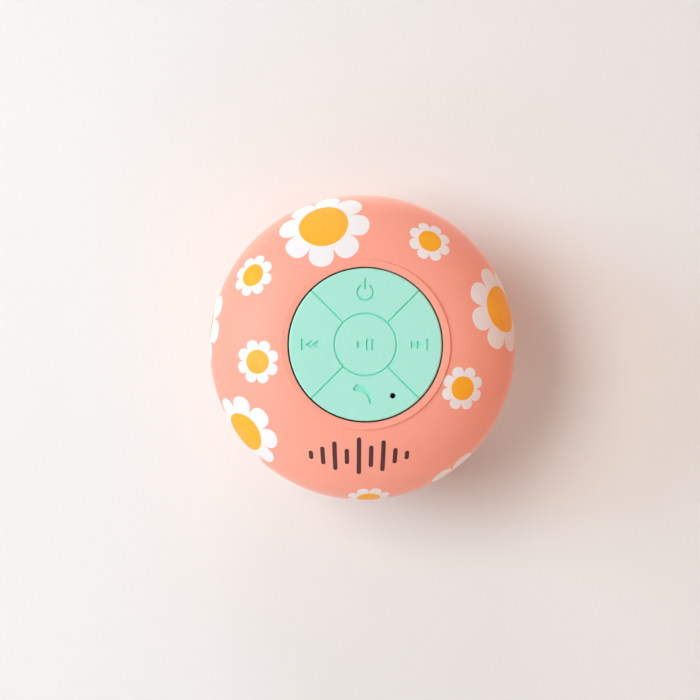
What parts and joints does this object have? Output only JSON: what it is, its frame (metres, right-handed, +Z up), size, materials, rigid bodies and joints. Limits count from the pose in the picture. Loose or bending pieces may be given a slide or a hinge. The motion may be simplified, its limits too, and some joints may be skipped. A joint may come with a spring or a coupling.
{
  "type": "shower speaker",
  "caption": "Round waterproof shower speaker with a suction cup behind, a coral soft-touch housing printed with daisies and a mint keypad with engraved signs.",
  "frame": {"origin": "centre of the suction cup's flat lip, in the plane of the wall that it sticks to", "axes": "+Y into the wall, so the keypad faces -Y; +Z up, the side of the power key; +X to the right for someone facing the keypad"},
  "size_m": [0.086, 0.055, 0.086],
  "materials": {
    "shell_soft_touch": "soft-touch satin over moulded ABS, pad-printed",
    "mint_silicone": "satin moulded silicone",
    "coral_silicone": "satin moulded silicone",
    "cup_silicone": "smooth, slightly glossy silicone",
    "black_silicone": "matte moulded rubber",
    "black_plastic": "moulded nylon",
    "screw_steel": "nickel-plated, cross recess",
    "grille_fabric": "fine woven acoustic mesh",
    "circuit_board": "green solder mask",
    "shield_metal": "tin-plated",
    "chip_plastic": "moulded epoxy",
    "capacitor_metal": "satin can",
    "connector_plastic": "moulded nylon",
    "battery_wrap": "laminated pouch",
    "foam_tape": "closed-cell foam",
    "speaker_steel": "black coated steel",
    "zinc_plate": "zinc-plated steel",
    "ferrite": "ground ferrite",
    "spider_cloth": "resin-dipped cloth",
    "terminal_board": "laminate with tinned lugs",
    "wire_red_black": "PVC insulation",
    "cone_paper": "pressed paper",
    "coil_former_film": "thin former",
    "copper_wire": "enamelled copper winding"
  },
  "bodies": {
    "cup": {"suction_cup": "cup_silicone"},
    "housing": {"front_shell": "shell_soft_touch", "rear_shell": "shell_soft_touch", "shell_gasket": "black_silicone", "housing_screws": "screw_steel", "grille_mesh": "grille_fabric", "cup_retainer": "shell_soft_touch", "retainer_screws": "screw_steel", "keypad_mat": "mint_silicone", "keypad_gasket": "black_silicone", "keypad_clamp_ring": "black_plastic", "switch_housings": "black_plastic", "main_board": "circuit_board", "board_screws": "screw_steel", "bluetooth_module": "shield_metal", "amplifier_chip": "chip_plastic", "filter_capacitors": "capacitor_metal", "crystal": "shield_metal", "board_connectors": "connector_plastic", "microphone": "chip_plastic", "microphone_boot": "black_silicone", "battery": "battery_wrap", "battery_tape": "foam_tape", "speaker_frame": "speaker_steel", "speaker_gasket": "foam_tape", "speaker_screws": "screw_steel", "speaker_front_plate": "zinc_plate", "speaker_magnet": "ferrite", "speaker_yoke": "zinc_plate", "speaker_surround": "black_silicone", "speaker_spider": "spider_cloth", "speaker_terminals": "terminal_board", "charge_board": "circuit_board", "charge_socket": "shield_metal", "charge_controller": "chip_plastic", "charge_board_screws": "screw_steel", "speaker_wires": "wire_red_black", "battery_wires": "wire_red_black", "charge_wires": "wire_red_black"},
    "cone": {"speaker_cone": "cone_paper", "dust_cap": "cone_paper", "coil_former": "coil_former_film", "voice_coil": "copper_wire"},
    "port_cover": {"port_cover": "coral_silicone"},
    "power_key": {"key_power": "mint_silicone", "switch_stem_power": "black_plastic"},
    "previous_key": {"key_previous": "mint_silicone", "switch_stem_previous": "black_plastic"},
    "play_pause_key": {"key_play_pause": "mint_silicone", "switch_stem_play_pause": "black_plastic"},
    "next_key": {"key_next": "mint_silicone", "switch_stem_next": "black_plastic"},
    "phone_key": {"key_phone": "mint_silicone", "switch_stem_phone": "black_plastic"}
  },
  "joints": [
    {"name": "cup_swivel", "type": "hinge", "parent": "cup", "child": "housing", "pos_m": [0, -0.0124, 0], "axis": [0, 1, 0], "continuous": true},
    {"name": "cone_travel", "type": "slide", "parent": "housing", "child": "cone", "axis": [0, 1, 0], "range_m": [-0.0005, 0.0005], "stiffness_N_per_m": 1200, "deforming": ["speaker_surround", "speaker_spider"]},
    {"name": "port_cover_hinge", "type": "hinge", "parent": "housing", "child": "port_cover", "pos_m": [-0.007, -0.02518, -0.03777], "axis": [0, 0.8576, 0.5143], "range_deg": [0, 90]},
    {"name": "power_press", "type": "slide", "parent": "housing", "child": "power_key", "axis": [0, 1, 0], "range_m": [0, 0.0003], "stiffness_N_per_m": 4000},
    {"name": "previous_press", "type": "slide", "parent": "housing", "child": "previous_key", "axis": [0, 1, 0], "range_m": [0, 0.0003], "stiffness_N_per_m": 4000},
    {"name": "play_pause_press", "type": "slide", "parent": "housing", "child": "play_pause_key", "axis": [0, 1, 0], "range_m": [0, 0.0003], "stiffness_N_per_m": 4000},
    {"name": "next_press", "type": "slide", "parent": "housing", "child": "next_key", "axis": [0, 1, 0], "range_m": [0, 0.0003], "stiffness_N_per_m": 4000},
    {"name": "phone_press", "type": "slide", "parent": "housing", "child": "phone_key", "axis": [0, 1, 0], "range_m": [0, 0.0003], "stiffness_N_per_m": 4000}
  ]
}
